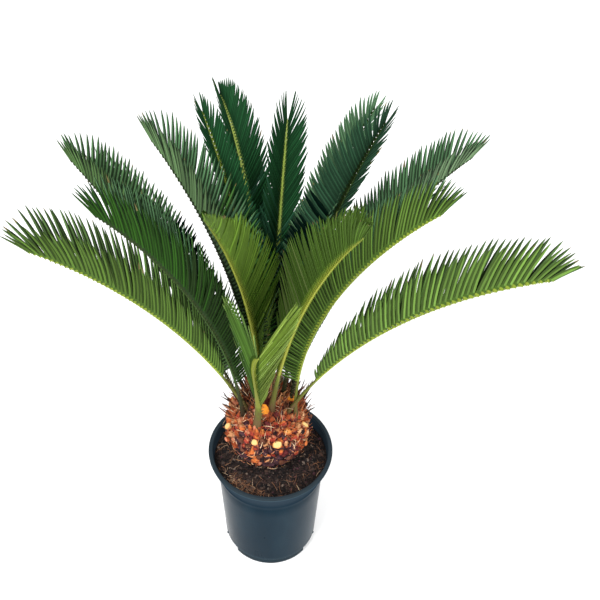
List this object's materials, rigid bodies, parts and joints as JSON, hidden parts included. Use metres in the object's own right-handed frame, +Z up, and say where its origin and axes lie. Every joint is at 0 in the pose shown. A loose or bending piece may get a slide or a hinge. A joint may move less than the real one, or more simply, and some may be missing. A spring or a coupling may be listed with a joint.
{
  "type": "potted sago palm",
  "caption": "Young sago palm with a round scaly trunk and stiff arching feather-like fronds, planted in soil in a tapered plastic nursery pot.",
  "frame": {"origin": "centre of the pot's flat underside, on the surface it stands on", "axes": "+Z up the trunk; -Y towards the side the plant is seen from, with the frond that arches forward; +X to that viewer's right"},
  "size_m": [0.5969, 0.5204, 0.753],
  "materials": {
    "pot": "slightly glossy dark blue-grey moulded plastic",
    "soil": "rough dark brown potting soil with coir fibres",
    "trunk": "rough scaly red-brown old leaf bases",
    "fronds": "leathery satin green leaflets"
  },
  "bodies": {
    "root": {"pot": "pot", "soil": "soil", "trunk": "trunk", "frond_back_mid": "fronds", "frond_back_centre": "fronds", "frond_back_left": "fronds", "frond_left_upper": "fronds", "frond_back_right": "fronds", "frond_back_right_high": "fronds", "frond_left_low": "fronds", "frond_left_mid": "fronds", "frond_left_back": "fronds", "frond_right_back": "fronds", "frond_right_mid": "fronds", "frond_right_low": "fronds", "frond_front_right": "fronds", "frond_front_left": "fronds", "frond_front_centre": "fronds", "frond_back_low_centre": "fronds", "frond_back_low_left": "fronds", "frond_back_low_right": "fronds"}
  },
  "joints": []
}
